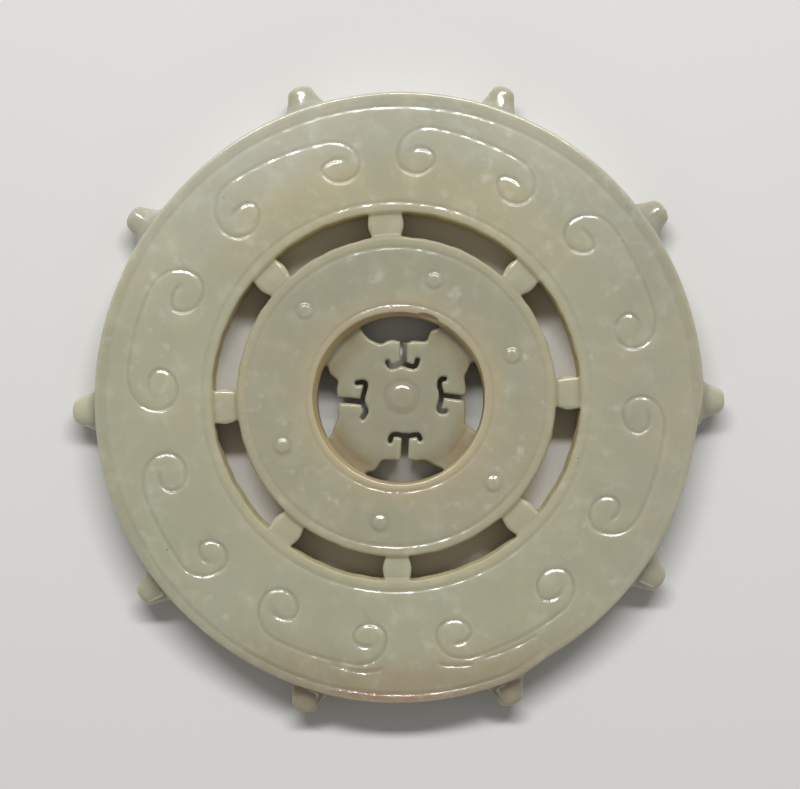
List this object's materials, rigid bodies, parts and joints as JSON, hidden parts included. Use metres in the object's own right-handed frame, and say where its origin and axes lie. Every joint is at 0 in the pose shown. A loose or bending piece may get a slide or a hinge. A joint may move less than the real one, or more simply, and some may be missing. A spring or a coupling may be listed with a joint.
{
  "type": "carved jade wheel ornament",
  "caption": "Flat pierced jade wheel with a knobbed rim, arc slots between two rings, cloud scrolls in low relief, small bosses and an openwork hub disc; lies flat on its plain back.",
  "frame": {"origin": "centre of the rim circle on the flat back, within 0.2 mm of the middle of the bounding box's bottom face", "axes": "+Z out of the carved front, +Y towards the top of the front, +X to the right of the front"},
  "size_m": [0.0948, 0.0912, 0.0074],
  "materials": {
    "jade": "polished translucent pale grey-green jade"
  },
  "bodies": {
    "root": {"jade_wheel": "jade"}
  },
  "joints": []
}
